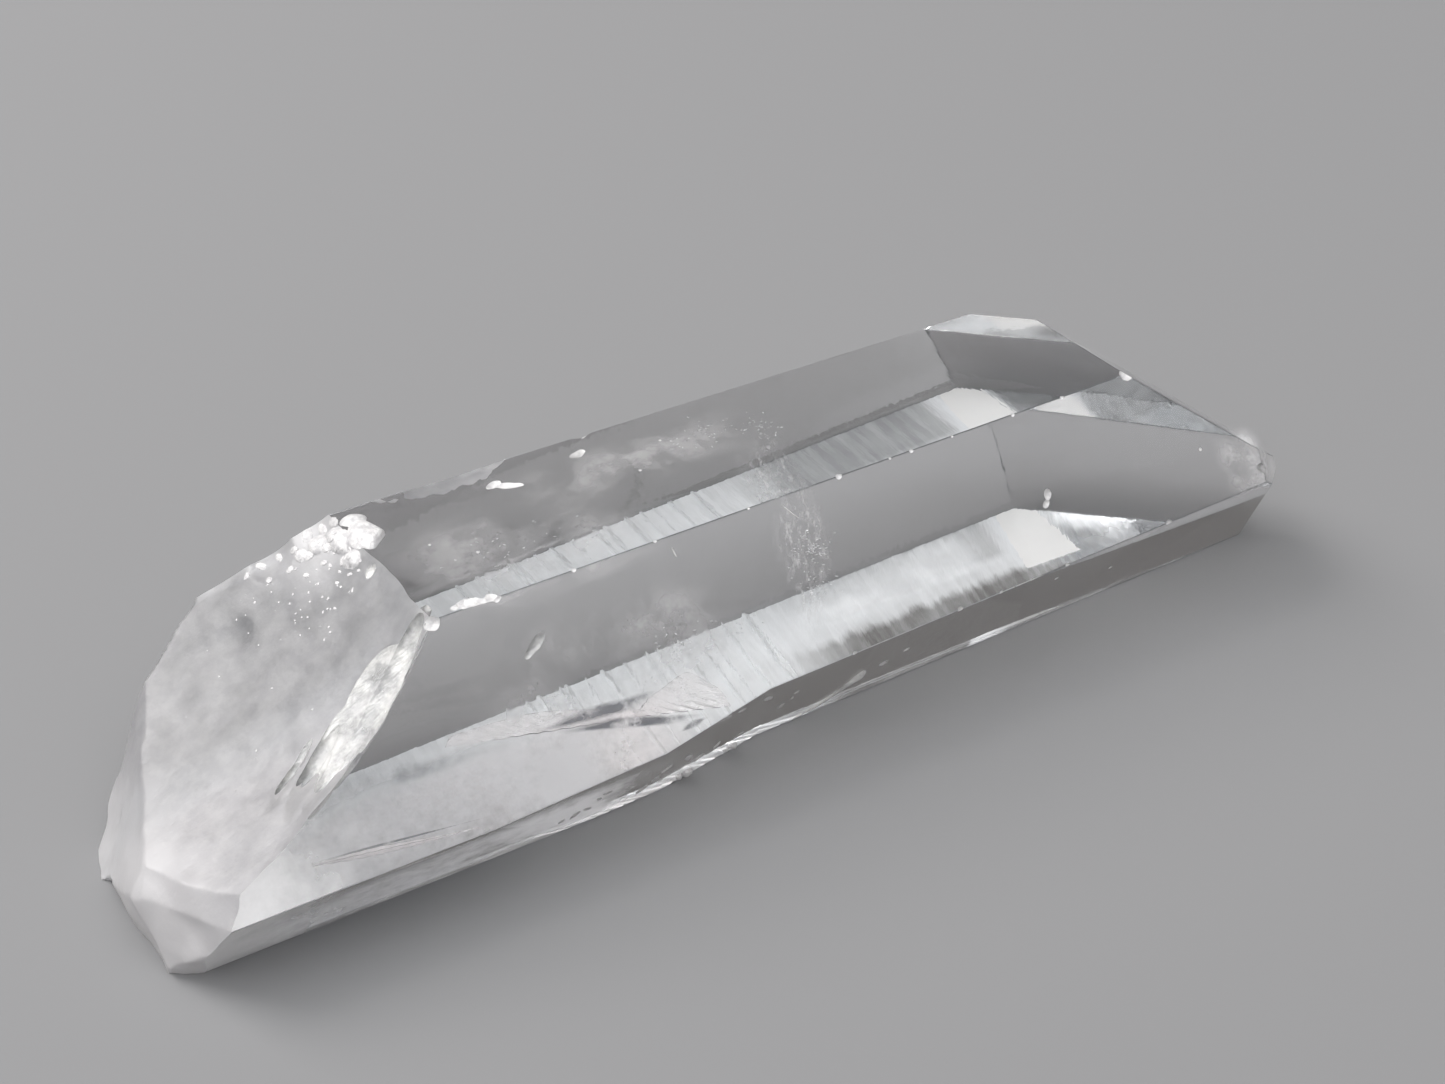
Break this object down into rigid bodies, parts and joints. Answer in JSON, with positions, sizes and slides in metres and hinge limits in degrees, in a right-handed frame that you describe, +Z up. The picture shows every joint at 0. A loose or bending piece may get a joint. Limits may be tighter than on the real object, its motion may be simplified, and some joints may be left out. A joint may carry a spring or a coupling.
{
  "type": "lemurian quartz crystal",
  "caption": "Long clear quartz point with a slanted natural tip and a conchoidal break at the foot, lying flat on a prism face.",
  "frame": {"origin": "centre of the footprint's bounding box, on the plane the crystal rests on", "axes": "+X along the c axis toward the point, +Z up, +Y to the back"},
  "size_m": [0.0726, 0.0202, 0.0149],
  "materials": {
    "quartz": "clear colourless quartz, glossy growth faces, frosted break"
  },
  "bodies": {
    "root": {"crystal": "quartz"}
  },
  "joints": []
}
